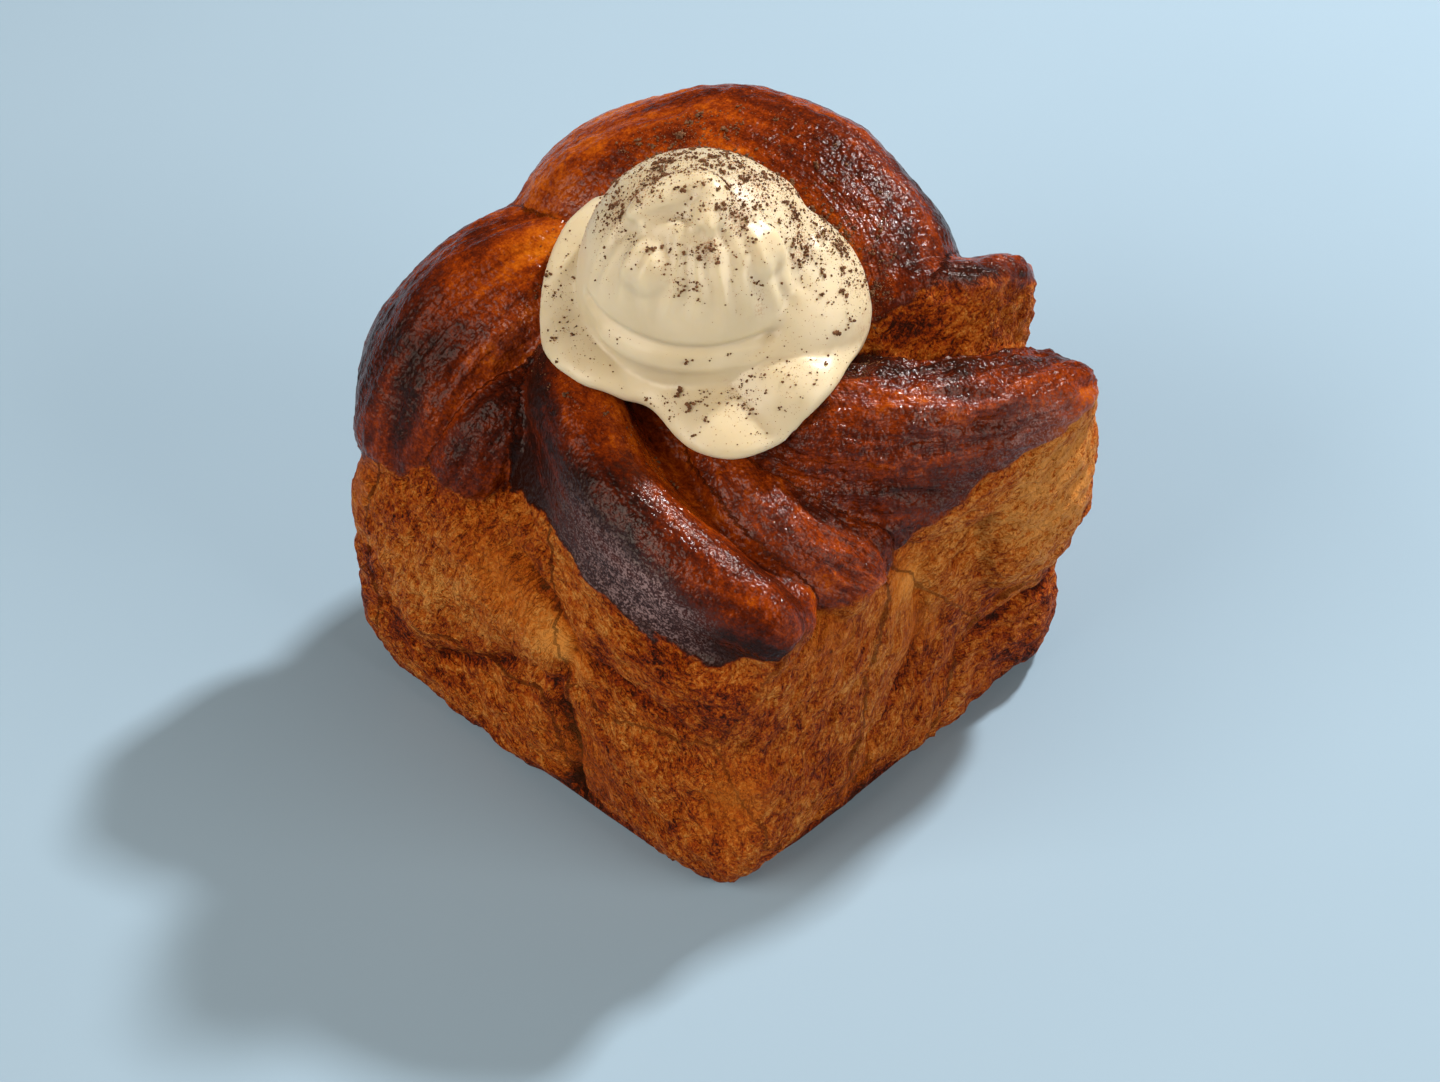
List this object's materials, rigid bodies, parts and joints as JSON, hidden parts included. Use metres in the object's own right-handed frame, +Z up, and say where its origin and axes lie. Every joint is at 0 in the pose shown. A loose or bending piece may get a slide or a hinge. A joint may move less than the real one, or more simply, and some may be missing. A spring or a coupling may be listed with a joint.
{
  "type": "caramel babka",
  "caption": "Small square loaf of plaited, browned sweet dough with a dollop of vanilla cream dusted with cocoa on top; it stands on its flat underside.",
  "frame": {"origin": "on the surface it stands on, under the middle of the whole", "axes": "+Z up; the corner between the -Y side and the +X side is the one that the cream drips to"},
  "size_m": [0.1028, 0.0932, 0.1098],
  "materials": {
    "browned_dough": "baked dough: glossy mahogany crust on the plaited top, golden brown crumb on the sides",
    "vanilla_cream": "soft pale yellow cream with a satin gloss, dusted with cocoa"
  },
  "bodies": {
    "root": {"loaf": "browned_dough", "cream": "vanilla_cream"}
  },
  "joints": []
}
